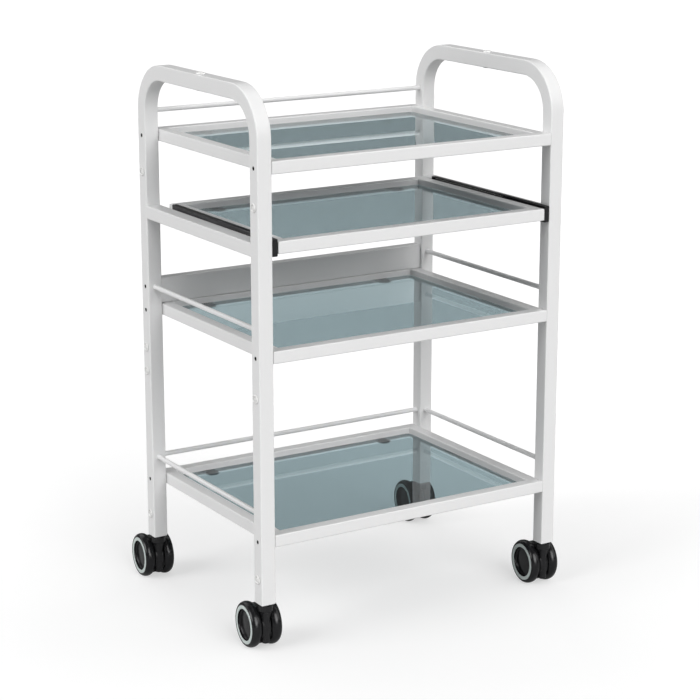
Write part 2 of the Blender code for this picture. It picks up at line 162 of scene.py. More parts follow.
STEM_RADIUS = 0.0048
STEM_EDGE = 0.0004
COLLAR_RADIUS = 0.0075
COLLAR_HEIGHT = 0.0020
COLLAR_GAP = 0.0003         # under the leg

PLUG_ROWS = (0.1205, 0.4155, 0.7140)    # heights of the plugs above the floor, on every leg
BACK_LEG_PLUG = 0.3745      # one more on each back leg
PANEL_SCREW_RISE = 0.030    # panel screw above the middle shelf's rails

SIDES = {"left": -1, "right": 1}
ENDS = {"front": -1, "back": 1}
FIXED_SHELVES = ("top", "middle", "bottom")
CORNERS = [f"{end}_{side}" for end in ENDS for side in SIDES]

# ------------------------------------------------------------------ stage values
FLOOR_RADIUS = 30.0
FLOOR_SINK = 0.0002         # floor below the wheels
FLOOR_GREY = 0.50
# The floor's glow is weaker near the trolley: painted shade around and under it.
FLOOR_LIFT = 0.500          # glow of the floor under the trolley
FLOOR_LIFT_FAR = 0.655      # and away from it
SHADE_CENTRE = (-0.10, -0.15, 0.0)
SHADE_REACH = 1.3           # from there to the full glow
ROOM_LIGHT = 0.10
CAMERA_LENS = 109.0         # millimetres, as the sensor's width
SENSOR_WIDTH = 36.0
CAMERA_PLACE = Vector((-1.8096, -2.9516, 1.3149))
CAMERA_AIM = Vector((-0.0040, -0.0300, 0.4140))
SUN_SPREAD = 40             # degrees, the width of every soft sun
SUNS = (                    # name, direction from the trolley, strength
    ("front_softbox", (0.0, -0.87, 0.50), 1.68),
    ("low_front_fill", (0.0, -0.99, 0.14), 0.50),
    ("front_right_softbox", (0.61, -0.61, 0.50), 0.47),
    ("left_softbox", (-0.87, 0.0, 0.50), 1.76),
    ("back_left_softbox", (-0.61, 0.61, 0.50), 0.28),
    ("high_back_fill", (0.0, 0.77, 0.64), 0.32),
    ("high_right_fill", (0.60, 0.0, 0.80), 0.34),
)

# ------------------------------------------------------------------ places from CAD
LEFT_LOW, LEFT_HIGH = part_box("left_side_frame")
RIGHT_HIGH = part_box("right_side_frame")[1]
CENTRE = Vector(((LEFT_LOW.x + RIGHT_HIGH.x) / 2, (LEFT_LOW.y + LEFT_HIGH.y) / 2, 0))
TUBE = LEFT_HIGH.x - LEFT_LOW.x
LEG_X = RIGHT_HIGH.x - TUBE / 2 - CENTRE.x
LEG_Y = LEFT_HIGH.y - TUBE / 2 - CENTRE.y
LEG_FOOT = LEFT_LOW.z
FRAME_TOP = LEFT_HIGH.z
X_AXIS, Y_AXIS, Z_AXIS = Vector((1, 0, 0)), Vector((0, 1, 0)), Vector((0, 0, 1))


# ------------------------------------------------------------------ material nodes
class Surface:
    """A material with a Principled shader and short calls for procedural detail."""

    def __init__(self, name, colour, roughness, metallic=0.0, ior=1.5):
        self.material = bpy.data.materials.new(name)
        self.material.use_nodes = True
        self.nodes = self.material.node_tree.nodes
        self.links = self.material.node_tree.links
        self.shader = self.nodes["Principled BSDF"]
        self.colour = colour
        self.roughness = roughness
        self.shader.inputs["Metallic"].default_value = metallic
        self.shader.inputs["IOR"].default_value = ior
        self.place = self.nodes.new("ShaderNodeTexCoord").outputs["Object"]

    def noise(self, scale, detail=2.0, stretch=(1, 1, 1)):
        mapping = self.nodes.new("ShaderNodeMapping")
        mapping.inputs["Scale"].default_value = stretch
        self.links.new(self.place, mapping.inputs["Vector"])
        noise = self.nodes.new("ShaderNodeTexNoise")
        noise.inputs["Scale"].default_value = scale
        noise.inputs["Detail"].default_value = detail
        self.links.new(mapping.outputs["Vector"], noise.inputs["Vector"])
        return noise.outputs["Fac"]

    def spread_range(self, value, low, high):
        """Maps the middle of a noise to low..high."""
        ramp = self.nodes.new("ShaderNodeMapRange")
        ramp.inputs["From Min"].default_value = 0.3
        ramp.inputs["From Max"].default_value = 0.7
        ramp.inputs["To Min"].default_value = low
        ramp.inputs["To Max"].default_value = high
        self.links.new(value, ramp.inputs["Value"])
        return ramp.outputs["Result"]

    def vary_colour(self, scale, spread, tint=(1, 1, 1)):
        """Colour drifts between a lighter tone and a slightly tinted darker one."""
        mix = self.nodes.new("ShaderNodeMix")
        mix.data_type = 'RGBA'          # its colours are inputs 6 and 7 and output 2
        darker = [c * (1 - spread) * t for c, t in zip(self.colour, tint)]
        lighter = [min(1.0, c * (1 + spread)) for c in self.colour]
        mix.inputs[6].default_value = (*darker, 1)
        mix.inputs[7].default_value = (*lighter, 1)
        self.links.new(self.spread_range(self.noise(scale, 4.0), 0, 1), mix.inputs[0])
        self.links.new(mix.outputs[2], self.shader.inputs["Base Color"])

    def vary_roughness(self, scale, spread, stretch=(1, 1, 1)):
        result = self.spread_range(self.noise(scale, 3.0, stretch),
                                   self.roughness - spread, self.roughness + spread)
        self.links.new(result, self.shader.inputs["Roughness"])

    def bump(self, scale, depth, strength=1.0, detail=2.0, stretch=(1, 1, 1)):
        """Adds one layer of bump; later layers lie on top of earlier ones."""
        bump = self.nodes.new("ShaderNodeBump")
        bump.inputs["Strength"].default_value = strength
        bump.inputs["Distance"].default_value = depth
        self.links.new(self.noise(scale, detail, stretch), bump.inputs["Height"])
        earlier = self.shader.inputs["Normal"]
        if earlier.is_linked:
            self.links.new(earlier.links[0].from_socket, bump.inputs["Normal"])
        self.links.new(bump.outputs["Normal"], earlier)


def powder_coat():
    """Satin white powder coat: fine orange peel over a slow waviness."""
    coat = Surface("white_powder_coat", (0.80, 0.80, 0.80), 0.30)
    coat.vary_colour(9, 0.005)
    coat.vary_roughness(60, 0.006)
    coat.bump(900, 0.000004, 0.4)
    return coat.material


def gloss_plastic():
    """Smooth moulded white plastic of the plugs."""
    plastic = Surface("white_gloss_plastic", (0.83, 0.83, 0.82), 0.22)
    plastic.vary_colour(120, 0.01)
    plastic.vary_roughness(300, 0.04)
    plastic.bump(700, 0.000008, 0.4)
    return plastic.material


def moulded_black(name, colour, roughness, grain, ior=1.5):
    """Black nylon with a fine spark-eroded grain."""
    black = Surface(name, colour, roughness, ior=ior)
    black.vary_colour(180, 0.12)
    black.vary_roughness(240, 0.02)
    black.bump(grain, 0.000004, 0.4)
    return black.material


def trim_plastic():
    """Pale grey soft plastic of the wheels' rings."""
    trim = Surface("pale_grey_trim", (0.60, 0.66, 0.64), 0.38)
    trim.vary_colour(150, 0.03, (0.98, 1.0, 1.0))
    trim.vary_roughness(300, 0.05)
    trim.bump(1100, 0.00001, 0.5)
    return trim.material


def coated_steel():
    """Black coated slide steel, drawn along its length."""
    steel = Surface("black_coated_steel", (0.020, 0.020, 0.021), 0.36)
    steel.vary_colour(60, 0.2)
    steel.vary_roughness(260, 0.06, (1, 0.04, 1))
    steel.bump(700, 0.00001, 0.5, 3.0, (1, 0.03, 1))
    return steel.material


def zinc_steel():
    """Bright zinc-plated steel of stems, cages and balls."""
    zinc = Surface("bright_zinc_steel", (0.62, 0.62, 0.60), 0.26, metallic=1.0)
    zinc.vary_colour(140, 0.05, (1.0, 0.99, 0.96))
    zinc.vary_roughness(400, 0.07)
    zinc.bump(800, 0.000006, 0.5)
    return zinc.material


def tinted_glass():
    """Blue-grey float glass; light from the lamps passes straight through, tinted."""
    glass = Surface("blue_grey_glass", (0.338, 0.450, 0.480), 0.012, ior=1.46)
    glass.vary_colour(5, 0.01)
    glass.vary_roughness(40, 0.008)
    glass.bump(14, 0.00004, 0.25)
    shader = glass.shader
    shader.inputs["Transmission Weight"].default_value = 1.0
    pass_through = glass.nodes.new("ShaderNodeBsdfTransparent")
    pass_through.inputs["Color"].default_value = (0.22, 0.24, 0.245, 1)
    rays = glass.nodes.new("ShaderNodeLightPath")
    mix = glass.nodes.new("ShaderNodeMixShader")
    output = glass.nodes["Material Output"]
    glass.links.new(rays.outputs["Is Shadow Ray"], mix.inputs[0])
    glass.links.new(shader.outputs["BSDF"], mix.inputs[1])
    glass.links.new(pass_through.outputs["BSDF"], mix.inputs[2])
    glass.links.new(mix.outputs["Shader"], output.inputs["Surface"])
    return glass.material


COAT = powder_coat()
WHITE_PLASTIC = gloss_plastic()
GLASS = tinted_glass()
SLIDE_STEEL = coated_steel()
ZINC = zinc_steel()
HOUSING_BLACK = moulded_black("black_nylon", (0.013, 0.013, 0.014), 0.20, 900, 1.42)
TYRE_BLACK = moulded_black("tyre_black", (0.009, 0.009, 0.010), 0.20, 700, 1.42)
# Darker rubber for the pads' rims: painted shade along their edges.
RIM_PAINTED_SHADE = moulded_black("rubber_painted_rim_shade", (0.020, 0.022, 0.023), 0.55, 1200)
PAD_RUBBER = moulded_black("rubber_grey", (0.14, 0.15, 0.15), 0.55, 1200)
SCREW_BLACK = moulded_black("black_oxide_steel", (0.004, 0.004, 0.004), 0.62, 1500, 1.25)
TRIM = trim_plastic()


# ------------------------------------------------------------------ mesh helpers
def add_piece(name, bm, material, body, replaces=(), smooth=SHARP_TURN):
    """Makes the mesh a smooth-shaded piece that rides on a CAD body."""
    bmesh.ops.recalc_face_normals(bm, faces=bm.faces)
    mesh = bpy.data.meshes.new(name)
    bm.to_mesh(mesh)
    bm.free()
    mesh.shade_smooth()
    mesh.set_sharp_from_angle(angle=math.radians(smooth))
    mesh.materials.append(material)
    piece = bpy.data.objects.new(name, mesh)
    bpy.context.scene.collection.objects.link(piece)
    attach(piece, body)
    if replaces:
        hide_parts(*replaces)
    return piece


def show_as(node, material):
    """Gives a CAD node that stays in view its finished material."""
    materials = frame["nodes"][node].data.materials
    materials.clear()
    materials.append(material)


def even_shading(piece):
    """Keeps large flat faces flat beside their small round edges."""
    weighted = piece.modifiers.new("even_shading", 'WEIGHTED_NORMAL')
    weighted.weight = 100
    weighted.keep_sharp = True


def give_wall(piece, thickness, offset=-1):
    """Turns a skin into sheet, inward from it at offset -1 and outward at 1."""
    wall = piece.modifiers.new("wall", 'SOLIDIFY')
    wall.thickness = thickness
    wall.offset = offset
    wall.use_even_offset = True


def apply_modifiers(piece):
    """Bakes the modifiers so far into the piece's own mesh."""
    graph = bpy.context.evaluated_depsgraph_get()
    mesh = bpy.data.meshes.new_from_object(piece.evaluated_get(graph))
    piece.modifiers.clear()
    piece.data = mesh


def combine(piece, bm, operation='DIFFERENCE'):
    """Cuts a closed tool mesh out of a piece, or joins it on."""
    bmesh.ops.recalc_face_normals(bm, faces=bm.faces)
    mesh = bpy.data.meshes.new("tool")
    bm.to_mesh(mesh)
    bm.free()
    tool = bpy.data.objects.new("tool", mesh)
    bpy.context.scene.collection.objects.link(tool)
    boolean = piece.modifiers.new("tool", 'BOOLEAN')
    boolean.object = tool
    boolean.operation = operation
    boolean.solver = 'EXACT'
    apply_modifiers(piece)
    bpy.data.objects.remove(tool)


def shade_anew(piece):
    """Smooth shading for a mesh that modifiers have made."""
    piece.data.shade_smooth()
    piece.data.set_sharp_from_angle(angle=math.radians(SHARP_TURN))
    even_shading(piece)


def quarter_turn(steps):
    """Angles from 0 to 90 degrees."""
    return [math.pi / 2 * step / steps for step in range(steps + 1)]


def round_outline(width, height, radius, steps=CORNER_STEPS):
    """Points of a rectangle with round corners, anticlockwise, centred on zero."""
    points = []
    for quarter, (sx, sy) in enumerate(((1, 1), (-1, 1), (-1, -1), (1, -1))):
        for step in range(steps + 1):
            angle = (quarter + step / steps) * math.pi / 2
            points.append((sx * (width / 2 - radius) + radius * math.cos(angle),
                           sy * (height / 2 - radius) + radius * math.sin(angle)))
    return points


def round_polyline(corners, radius, steps=4):
    """An open 2D line through the corners, each inner corner rounded."""
    points = [Vector(corners[0])]
    for before, corner, after in zip(corners, corners[1:], corners[2:]):
        corner = Vector(corner)
        start = (Vector(before) - corner).normalized()
        end = (Vector(after) - corner).normalized()
        centre = corner + radius * (start + end)        # the corners are square
        for step in range(steps + 1):
            angle = step / steps * math.pi / 2
            points.append(centre - radius * (end * math.cos(angle) + start * math.sin(angle)))
    points.append(Vector(corners[-1]))
    return points


def skin(bm, rings, closed_path=False, closed_outline=True):
    """Quads between rings of vertices."""
    last = len(rings) if closed_path else len(rings) - 1
    for i in range(last):
        ring, following = rings[i], rings[(i + 1) % len(rings)]
        sides = len(ring) if closed_outline else len(ring) - 1
        for j in range(sides):
            k = (j + 1) % len(ring)
            bm.faces.new((ring[j], ring[k], following[k], following[j]))


def sweep(bm, path, outline, up, closed=False):
    """Carries a closed outline of (across, up) points along a flat path, mitred at its turns."""
    rings = []
    count = len(path)
    for i, point in enumerate(path):
        before = point - path[i - 1] if closed or i else path[1] - point
        after = path[(i + 1) % count] - point if closed or i < count - 1 else before
        before, after = before.normalized(), after.normalized()
        across = (before + after).normalized().cross(up)
        across = across / across.dot(before.cross(up))
        rings.append([bm.verts.new(point + a * across + b * up) for a, b in outline])
    skin(bm, rings, closed)


def lathe(bm, profile, place, steps=TURN_STEPS, closed=False):
    """Turns a profile of (radius, height) about its place's Z axis."""
    rings = []
    for radius, height in profile:
        if radius == 0:
            rings.append([bm.verts.new(place @ Vector((0, 0, height)))])
            continue
        rings.append([bm.verts.new(place @ Vector((radius * math.cos(turn),
                                                   radius * math.sin(turn), height)))
                      for turn in (2 * math.pi * step / steps for step in range(steps))])
    pairs = list(zip(rings, rings[1:]))
    if closed:
        pairs.append((rings[-1], rings[0]))
    for ring, following in pairs:
        for j in range(steps):
            k = (j + 1) % steps
            corners = [ring[j % len(ring)], ring[k % len(ring)],
                       following[k % len(following)], following[j % len(following)]]
            bm.faces.new(list(dict.fromkeys(corners)))


def plate(bm, outline, low, high, place=Matrix.Identity(4), edge=0.0):
    """A flat plate of an outline, its two rims bevelled."""
    middle = sum((Vector(p) for p in outline), Vector((0, 0))) / len(outline)

    def ring(height, inset):
        points = []
        for i, point in enumerate(outline):
            tangent = Vector(outline[(i + 1) % len(outline)]) - Vector(outline[i - 1])
            inward = Vector((-tangent.y, tangent.x)).normalized()
            if inward.dot(middle - Vector(point)) < 0:
                inward = -inward
            points.append(Vector(point) + inset * inward)
        return [bm.verts.new(place @ Vector((*p, height))) for p in points]

    heights = [(low, edge), (low + edge, 0), (high - edge, 0), (high, edge)]
    rings = [ring(height, inset) for height, inset in (heights if edge else heights[::3])]
    skin(bm, rings)
    bm.faces.new(rings[0][::-1])
    bm.faces.new(rings[-1])


def facing(point, direction):
    """A place at a point whose Z axis looks along a direction."""
    return Matrix.Translation(point) @ direction.to_track_quat('Z', 'Y').to_matrix().to_4x4()


# ------------------------------------------------------------------ side frames
def handle_path(x):
    """Centre line of a side frame: up the front leg, over the handle, down the back leg."""
    bar = FRAME_TOP - TUBE / 2
    path = [Vector((x, CENTRE.y - LEG_Y, LEG_FOOT))]
    for end in ENDS.values():
        centre_y = CENTRE.y + end * (LEG_Y - BEND_RADIUS)
        for step in range(BEND_STEPS + 1):
            turn = step / BEND_STEPS * math.pi / 2
            reach = math.cos(turn) if end < 0 else math.sin(turn)
            rise = math.sin(turn) if end < 0 else math.cos(turn)
            path.append(Vector((x, centre_y + end * BEND_RADIUS * reach,
                                bar - BEND_RADIUS + BEND_RADIUS * rise)))
    path.append(Vector((x, CENTRE.y + LEG_Y, LEG_FOOT)))
    return path


def screw_heights(end):
    """The shelves' screws, and on the back legs the panel's."""
    heights = []
    for shelf in FIXED_SHELVES:
        low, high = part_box(f"{shelf}_shelf_ring")
        heights.append((low.z + high.z) / 2)
    if end > 0:
        heights.append(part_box("middle_shelf_ring")[1].z + PANEL_SCREW_RISE)
    return heights


def leg_face(side, end, height, depth=0.0):
    """A point on the outer face of a leg, or a little below its surface."""
    return Vector((CENTRE.x + side * (LEG_X + TUBE / 2 - depth), CENTRE.y + end * LEG_Y, height))


def drill(piece, side, rows):
    """Cuts the screw holes through a side frame's outer wall."""
    bm = bmesh.new()
    for end, height in rows:
        lathe(bm, [(0, 0.001), (SCREW_HOLE / 2, 0.001), (SCREW_HOLE / 2, -2 * WALL),
                   (0, -2 * WALL)], facing(leg_face(side, end, height), side * X_AXIS), 32)
    combine(piece, bm)


def build_side_frame(side_name):
    side = SIDES[side_name]
    bm = bmesh.new()
    sweep(bm, handle_path(CENTRE.x + side * LEG_X), round_outline(TUBE, TUBE, CORNER), X_AXIS)
    piece = add_piece(f"{side_name}_bent_frame", bm, COAT, "frame",
                      (f"{side_name}_side_frame",))
    give_wall(piece, WALL)
    drill(piece, side, [(end, height) for end in ENDS.values() for height in screw_heights(end)])
    shade_anew(piece)


def screw_mesh(place):
    """A screw head with a hexagonal socket, its top at the place's origin."""
    radius, corner = SCREW_HEAD / 2, SCREW_SOCKET / math.sqrt(3)
    hexagon = [(corner * math.cos(math.radians(60 * k)), corner * math.sin(math.radians(60 * k)))
               for k in range(6)]
    bm = bmesh.new()
    lathe(bm, [(radius * SCREW_FACE, 0), (radius - SCREW_RIM, 0), (radius, -SCREW_RIM),
               (radius, -SCREW_LENGTH), (0, -SCREW_LENGTH)], place, 36)
    face = [edge for edge in bm.edges if edge.is_boundary]
    socket = [bm.verts.new(place @ Vector((*point, -0.0001))) for point in hexagon]
    mouth = [bm.edges.new((socket[k], socket[(k + 1) % 6])) for k in range(6)]
    bmesh.ops.bridge_loops(bm, edges=face + mouth)
    floor = [bm.verts.new(place @ Vector((*point, -SOCKET_DEPTH))) for point in hexagon]
    skin(bm, [socket, floor])
    bm.faces.new(floor)
    return bm


def build_leg_screws(side_name):
    """Black socket screws, just below the surface of the outer faces."""
    side = SIDES[side_name]
    for end_name, end in ENDS.items():
        for row, height in enumerate(screw_heights(end)):
            place = facing(leg_face(side, end, height, SCREW_SINK), side * X_AXIS)
            add_piece(f"{side_name}_{end_name}_leg_screw_{row + 1}", screw_mesh(place),
                      SCREW_BLACK, "frame")


def handle_plug_profile():
    """A domed head on a short straight rim, its underside flat on the tube."""
    head, stalk, rim = HANDLE_PLUG_HEAD / 2, HANDLE_PLUG_STALK, HANDLE_PLUG_RIM
    crown = [(head * math.sin(a), rim + (HANDLE_PLUG_DOME - rim) * math.cos(a))
             for a in quarter_turn(10)]
    return crown + [(head, 0.0001), (head - 0.0002, 0), (stalk, 0), (stalk, -PLUG_DEPTH),
                    (0, -PLUG_DEPTH)]


def leg_plug_profile():
    """A head with a raised rim, a groove and a button, its edge just off the tube."""
    head, top, stalk = PLUG_HEAD / 2, PLUG_DOME, PLUG_STALK
    button = [(0, top - 0.0002), (0.0031, top - 0.0003), (0.0037, top - 0.0006)]
    groove = [(0.0039, 0.0002), (0.0050, 0.0002)]
    rim = [(0.0052, top - 0.0006), (0.0058, top), (0.0066, top - 0.0002),
           (head - 0.0002, 0.0011), (head, 0.0007), (head - 0.0003, 0.0005)]
    return button + groove + rim + [(stalk, 0.0005), (stalk, -PLUG_DEPTH), (0, -PLUG_DEPTH)]


def build_leg_plugs(side_name):
    """White plugs in the legs' unused holes."""
    side = SIDES[side_name]
    profile = leg_plug_profile()
    for end_name, end in ENDS.items():
        rows = PLUG_ROWS + ((BACK_LEG_PLUG,) if end > 0 else ())
        for row, height in enumerate(sorted(rows)):
            bm = bmesh.new()
            lathe(bm, profile, facing(leg_face(side, end, height), side * X_AXIS), 48)
            add_piece(f"{side_name}_{end_name}_leg_plug_{row + 1}", bm, WHITE_PLASTIC, "frame")


def build_handle_plugs(side_name):
    """One plug above and one under the middle of the handle."""
    x = CENTRE.x + SIDES[side_name] * LEG_X
    for where, height, direction in (("top", FRAME_TOP, Z_AXIS),
                                     ("under", FRAME_TOP - TUBE, -Z_AXIS)):
        node = f"{side_name}_handle_plug_{where}"
        bm = bmesh.new()
        lathe(bm, handle_plug_profile(), facing(Vector((x, CENTRE.y, height)), direction), 48)
        add_piece(f"{node}_dome", bm, WHITE_PLASTIC, "frame", (node,))


def build_tube(name, node, start, end, up, width, height):
    """A straight square tube between two points, open at its ends, for a CAD node."""
    bm = bmesh.new()
    sweep(bm, [start, end], round_outline(width, height, CORNER), up)
    piece = add_piece(name, bm, COAT, "frame", (node,))
    give_wall(piece, WALL)
    even_shading(piece)


def build_slide_rail(side_name):
    """Welded flush between the legs, so its faces run on into theirs."""
    node = f"{side_name}_slide_rail"
    low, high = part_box(node)
    middle = (low + high) / 2
    reach = LEG_Y - TUBE / 2 + CORNER
    build_tube(f"{side_name}_welded_side_rail", node,
               Vector((middle.x, CENTRE.y - reach, middle.z)),
               Vector((middle.x, CENTRE.y + reach, middle.z)), Z_AXIS,
               high.x - low.x, high.z - low.z)


def build_back_panel():
    low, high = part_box("middle_back_panel")
    middle = (low + high) / 2
    build_tube("middle_back_guard", "middle_back_panel",
               Vector((low.x, middle.y, middle.z)), Vector((high.x, middle.y, middle.z)),
               Z_AXIS, high.y - low.y, high.z - low.z)


# ------------------------------------------------------------------ shelves
def build_ring(name, node, body):
    """A welded ring of square tube, mitred at its corners."""
    low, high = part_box(node)
    rail = high.z - low.z
    inset = Vector((rail / 2, rail / 2, 0))
    near, far = low + inset, high - inset
    path = [Vector((x, y, high.z - rail / 2)) for x, y in ((near.x, near.y), (far.x, near.y),
                                                           (far.x, far.y), (near.x, far.y))]
    bm = bmesh.new()
    sweep(bm, path, round_outline(rail, rail, CORNER), Z_AXIS, closed=True)
    mitres = [edge for edge in bm.edges if edge.calc_face_angle() > math.radians(MITRE_TURN)]
    bmesh.ops.bevel(bm, geom=mitres, offset=MITRE_EDGE, segments=2, affect='EDGES',
                    clamp_overlap=True)
    even_shading(add_piece(name, bm, COAT, body, (node,)))


def tab_places(ring_node):
    """Where the glass tabs stand: (place, front or back, left or right)."""
    low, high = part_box(ring_node)
    rail = high.z - low.z
    for end_name, end in ENDS.items():
        for side_name, side in SIDES.items():
            y = low.y + rail if end < 0 else high.y - rail
            turn = Matrix.Rotation(0 if end < 0 else math.pi, 4, 'Z')
            place = Matrix.Translation((CENTRE.x + side * TAB_X, y, 0)) @ turn
            yield place, end_name, side_name


def tab_outline(steps=20):
    """A tab from just inside its rail's wall to its round end."""
    root, straight = -0.0002, TAB_REACH - TAB_RADIUS
    turns = [math.pi * step / steps for step in range(steps + 1)]
    end = [(TAB_RADIUS * math.cos(turn), straight + TAB_RADIUS * math.sin(turn)) for turn in turns]
    return [(TAB_RADIUS, root)] + end + [(-TAB_RADIUS, root)]


def build_tabs(name, ring_node, glass_node, body):
    """Round-ended steel tabs under the glass, each with a thin round rubber pad whose darker rim
    is painted shade.
    """
    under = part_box(glass_node)[0].z
    for place, end_name, side_name in tab_places(ring_node):
        tab_name = f"{name}_{end_name}_{side_name}"
        tab_top = under - PAD_THICKNESS - PAD_GAP
        bm = bmesh.new()
        plate(bm, tab_outline(), tab_top - TAB_THICKNESS, tab_top, place, TAB_EDGE)
        add_piece(f"{tab_name}_tab", bm, COAT, body)
        pad = place @ Matrix.Translation((0, TAB_REACH - TAB_RADIUS, tab_top))
        top, low = PAD_THICKNESS, 0.00002
        bm = bmesh.new()
        lathe(bm, [(PAD_CENTRE, low), (PAD_CENTRE, top), (PAD_RADIUS, top), (PAD_RADIUS, low)],
              pad, 48, closed=True)
        # The dark rim is painted shade along the pad's edge.
        add_piece(f"{tab_name}_pad_rim_painted_shade", bm, RIM_PAINTED_SHADE, body)
        bm = bmesh.new()
        lathe(bm, [(0, top), (PAD_CENTRE - 0.0002, top), (PAD_CENTRE - 0.0002, low), (0, low)],
              pad, 48)
        add_piece(f"{tab_name}_pad_middle", bm, PAD_RUBBER, body)


def build_pane(name, node, body):
    """A pane with round corners and ground edges."""
    low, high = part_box(node)
    middle = (low + high) / 2
    bm = bmesh.new()
    plate(bm, round_outline(high.x - low.x, high.y - low.y, GLASS_CORNER, 10),
          low.z, high.z, Matrix.Translation((middle.x, middle.y, 0)), GLASS_EDGE)
    add_piece(name, bm, GLASS, body, (node,), smooth=20)


def build_guard_rod(node):
    """A thin rod whose ends flare into their welds on the legs."""
    low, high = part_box(node)
    middle, size = (low + high) / 2, high - low
    along = X_AXIS if size.x > size.y else Y_AXIS
    radius = size.z / 2
    half = size.dot(along) / 2
    flare = [(radius + WELD * (1 - math.sin(a)), half - WELD * (1 - math.cos(a)))
             for a in quarter_turn(5)]
    profile = [(0, half)] + flare + [(r, -h) for r, h in reversed(flare)] + [(0, -half)]
    bm = bmesh.new()
    lathe(bm, profile, facing(middle, along), 40)
    add_piece(f"{node}_welded", bm, COAT, "frame", (node,), smooth=50)


# ------------------------------------------------------------------ tray slides
def build_channel(name, node, body, web_at_high, bend, front):
    """A folded channel in the box of its CAD node, its web at the box's high or low X."""
    low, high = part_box(node)
    web_x, lip_x = (high.x, low.x) if web_at_high else (low.x, high.x)
    section = round_polyline([(lip_x, high.z), (web_x, high.z), (web_x, low.z), (lip_x, low.z)],
                             bend)
    bm = bmesh.new()
    rings = [[bm.verts.new((x, y, z)) for x, z in section] for y in (low.y + front, high.y)]
    skin(bm, rings, closed_outline=False)
    piece = add_piece(name, bm, SLIDE_STEEL, body, (node,))
    web = max(piece.data.polygons, key=lambda face: face.area)
    faces_out = (web.normal.x > 0) == web_at_high
    give_wall(piece, SLIDE_SHEET, -1 if faces_out else 1)


def build_balls(side_name):
    """Two rows of balls in each cage, between the flanges of the two channels."""
    cage_low, cage_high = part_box(f"{side_name}_slide_cage")
    outer_low, outer_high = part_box(f"{side_name}_slide_outer")
    inner_low, inner_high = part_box(f"{side_name}_slide_inner")
    x = (inner_low.x + inner_high.x) / 2
    bm = bmesh.new()
    for steel, flange in ((outer_high.z - SLIDE_SHEET, inner_high.z),
                          (outer_low.z + SLIDE_SHEET, inner_low.z)):
        z = (steel + flange) / 2
        start = (cage_low.y + cage_high.y - (BALL_COUNT - 1) * BALL_PITCH) / 2
        for k in range(BALL_COUNT):
            place = Matrix.Translation((x, start + k * BALL_PITCH, z))
            bmesh.ops.create_uvsphere(bm, u_segments=16, v_segments=10, radius=BALL, matrix=place)
    add_piece(f"{side_name}_slide_balls", bm, ZINC, f"{side_name}_ball_cage", smooth=60)


def build_end_caps(side_name):
    """Black plastic ends: one on the moving member in front, a stop behind the fixed one."""
    low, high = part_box(f"{side_name}_slide_outer")
    middle = (low + high) / 2
    outline = round_outline(high.x - low.x, high.z - low.z, CAP_CORNER, 3)
    place = Matrix.Translation((middle.x, 0, middle.z)) @ Matrix.Rotation(math.pi / 2, 4, 'X')
    bm = bmesh.new()
    plate(bm, outline, -low.y - CAP_DEPTH, -low.y, place, 0.0006)
    add_piece(f"{side_name}_slide_front_cap", bm, HOUSING_BLACK, "tray")
    bm = bmesh.new()
    plate(bm, outline, -high.y - STOP_FAR, -high.y - STOP_NEAR, place, 0.0004)
    add_piece(f"{side_name}_slide_rear_stop", bm, HOUSING_BLACK, "frame")


def build_slide(side_name):
    """The fixed channel's web is on the leg's side, the moving one's on the tray's side."""
    on_right = SIDES[side_name] > 0
    build_channel(f"{side_name}_slide_fixed_channel", f"{side_name}_slide_outer", "frame",
                  on_right, SLIDE_BEND, CAP_DEPTH + CAP_GAP)
    build_channel(f"{side_name}_slide_moving_channel", f"{side_name}_slide_inner", "tray",
                  not on_right, INNER_BEND, CAP_DEPTH)
    show_as(f"{side_name}_slide_cage", ZINC)
    build_balls(side_name)
    build_end_caps(side_name)


# ------------------------------------------------------------------ casters
def joint_values(name):
    """Where a joint is and its axis, at rest."""
    joint = next(joint for joint in frame["joints"] if joint["name"] == name)
    return Vector(joint["pos_m"]), Vector(joint["axis"])


def caster_place(corner):
    """The caster's own axes: X along its axle, Z up, origin on the floor under its stem."""
    stem = joint_values(f"{corner}_swivel")[0]
    axis = joint_values(f"{corner}_wheel_left_spin")[1]
    turn = Matrix.Rotation(math.atan2(axis.y, axis.x), 4, 'Z')
    return Matrix.Translation((stem.x, stem.y, 0)) @ turn


def axle_trail(corner):
    """Distance of the axle behind the stem."""
    stem = joint_values(f"{corner}_swivel")[0]
    axle = joint_values(f"{corner}_wheel_left_spin")[0]
    return (axle - stem).xy.length


def wheel_middle(corner, side_name):
    """Distance of a wheel's middle from the caster's middle."""
    low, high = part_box(f"{corner}_wheel_{side_name}")
    axle = joint_values(f"{corner}_wheel_left_spin")[0]
    return abs((low + high).x / 2 - axle.x)


def wheel_profile():
    """Half-section of a wheel, from the middle of its outer face round to the inner one."""
    fall, wall, fillet = DISH_CENTRE - DISH, WHEEL_HALF - 0.0008 - DISH, DISH_FILLET
    foot = TRIM_INNER - 0.0004 - fillet
    dish = [(foot * t, DISH_CENTRE - fall * t * t) for t in (step / 12 for step in range(12))]
    bowl = [(foot + fillet * math.sin(a), DISH + wall * (1 - math.cos(a)))
            for a in quarter_turn(8)]
    floor = WHEEL_HALF - SEAT_DEPTH
    seat = [(TRIM_INNER - 0.0003, WHEEL_HALF - 0.0003), (TRIM_INNER, floor),
            (TRIM_OUTER + 0.0004, floor), (TRIM_OUTER + 0.0005, WHEEL_HALF - 0.0002)]
    tread = [(WHEEL - TREAD_FALL * (1 - math.cos(a)), TREAD_HALF * math.sin(a))
             for a in (math.radians(70 - 7 * step) for step in range(21))]
    flank = [(0.0318, -0.0083), (0.0275, -0.0046), (0.0250, -0.0034), (0.0100, -0.0030),
             (0.0088, -0.0036), (0.0085, -0.0088), (0.0043, -0.0088), (0.0043, -0.0020),
             (0.0, -0.0020)]
    return dish + bowl + seat + tread + flank


